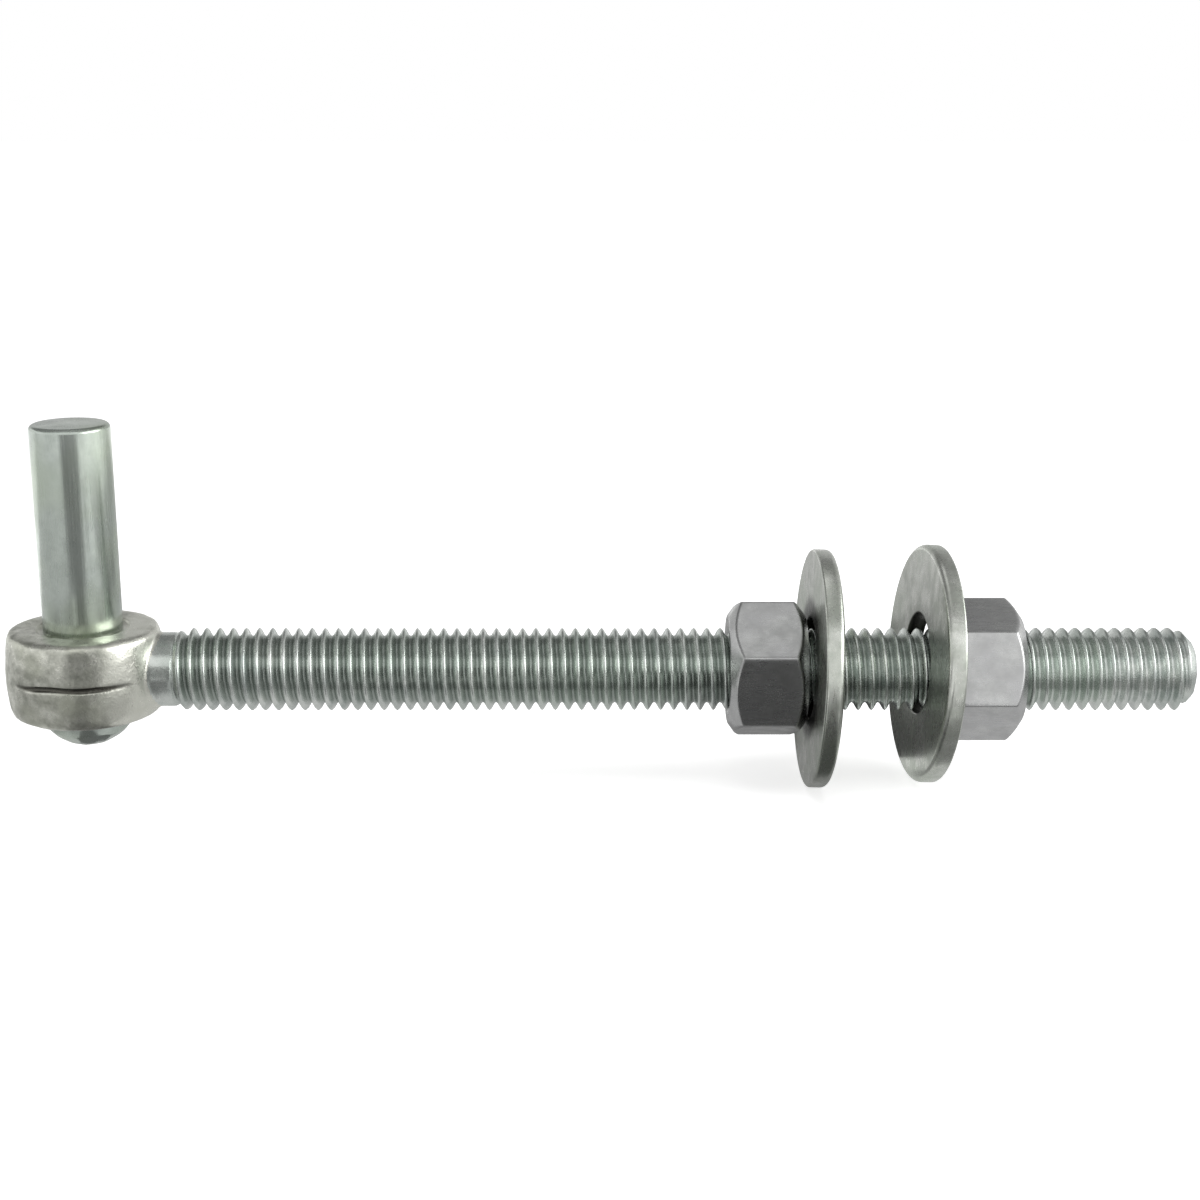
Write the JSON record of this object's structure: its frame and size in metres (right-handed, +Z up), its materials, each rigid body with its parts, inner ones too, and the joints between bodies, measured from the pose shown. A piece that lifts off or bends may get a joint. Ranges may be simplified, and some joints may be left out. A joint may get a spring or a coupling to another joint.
{
  "type": "gate hook bolt",
  "caption": "Gate hook bolt: an upright hinge pin riveted through a forged eye on a long threaded shank, with hex nuts and wide washers that clamp the shank in a post.",
  "frame": {"origin": "on the hinge pin's axis, level with the top of the eye, where the gate's own eye rests and turns", "axes": "+Z up along the hinge pin, +X along the threaded shank from the eye to its tip"},
  "size_m": [0.2414, 0.0497, 0.0745],
  "materials": {
    "forged_zinc": "bright zinc plate over forged steel",
    "pin_zinc": "bright zinc plate over drawn bar",
    "nut_zinc": "bright zinc plate",
    "washer_zinc": "dull zinc plate over punched sheet"
  },
  "bodies": {
    "hook": {"eye_bolt": "forged_zinc", "hinge_pin": "pin_zinc"},
    "inner_washer": {"inner_washer": "washer_zinc"},
    "inner_nut": {"inner_nut": "nut_zinc"},
    "outer_washer": {"outer_washer": "washer_zinc"},
    "outer_nut": {"outer_nut": "nut_zinc"}
  },
  "joints": [
    {"name": "inner_washer_travel", "type": "slide", "parent": "hook", "child": "inner_washer", "axis": [1, 0, 0], "range_m": [-0.1077, 0.0075]},
    {"name": "inner_nut_turn", "type": "hinge", "parent": "inner_washer", "child": "inner_nut", "pos_m": [0.13906, 0, -0.009], "axis": [1, 0, 0], "range_deg": [-14400, 990]},
    {"name": "outer_washer_travel", "type": "slide", "parent": "hook", "child": "outer_washer", "axis": [1, 0, 0], "range_m": [-0.0075, 0.0324]},
    {"name": "outer_nut_turn", "type": "hinge", "parent": "outer_washer", "child": "outer_nut", "pos_m": [0.1827, 0, -0.009], "axis": [1, 0, 0], "range_deg": [-990, 4320]}
  ],
  "couplings": [
    {"joint": "inner_washer_travel", "follows": "inner_nut_turn", "m_per_rad": 0.00042813},
    {"joint": "outer_washer_travel", "follows": "outer_nut_turn", "m_per_rad": 0.00042813}
  ]
}
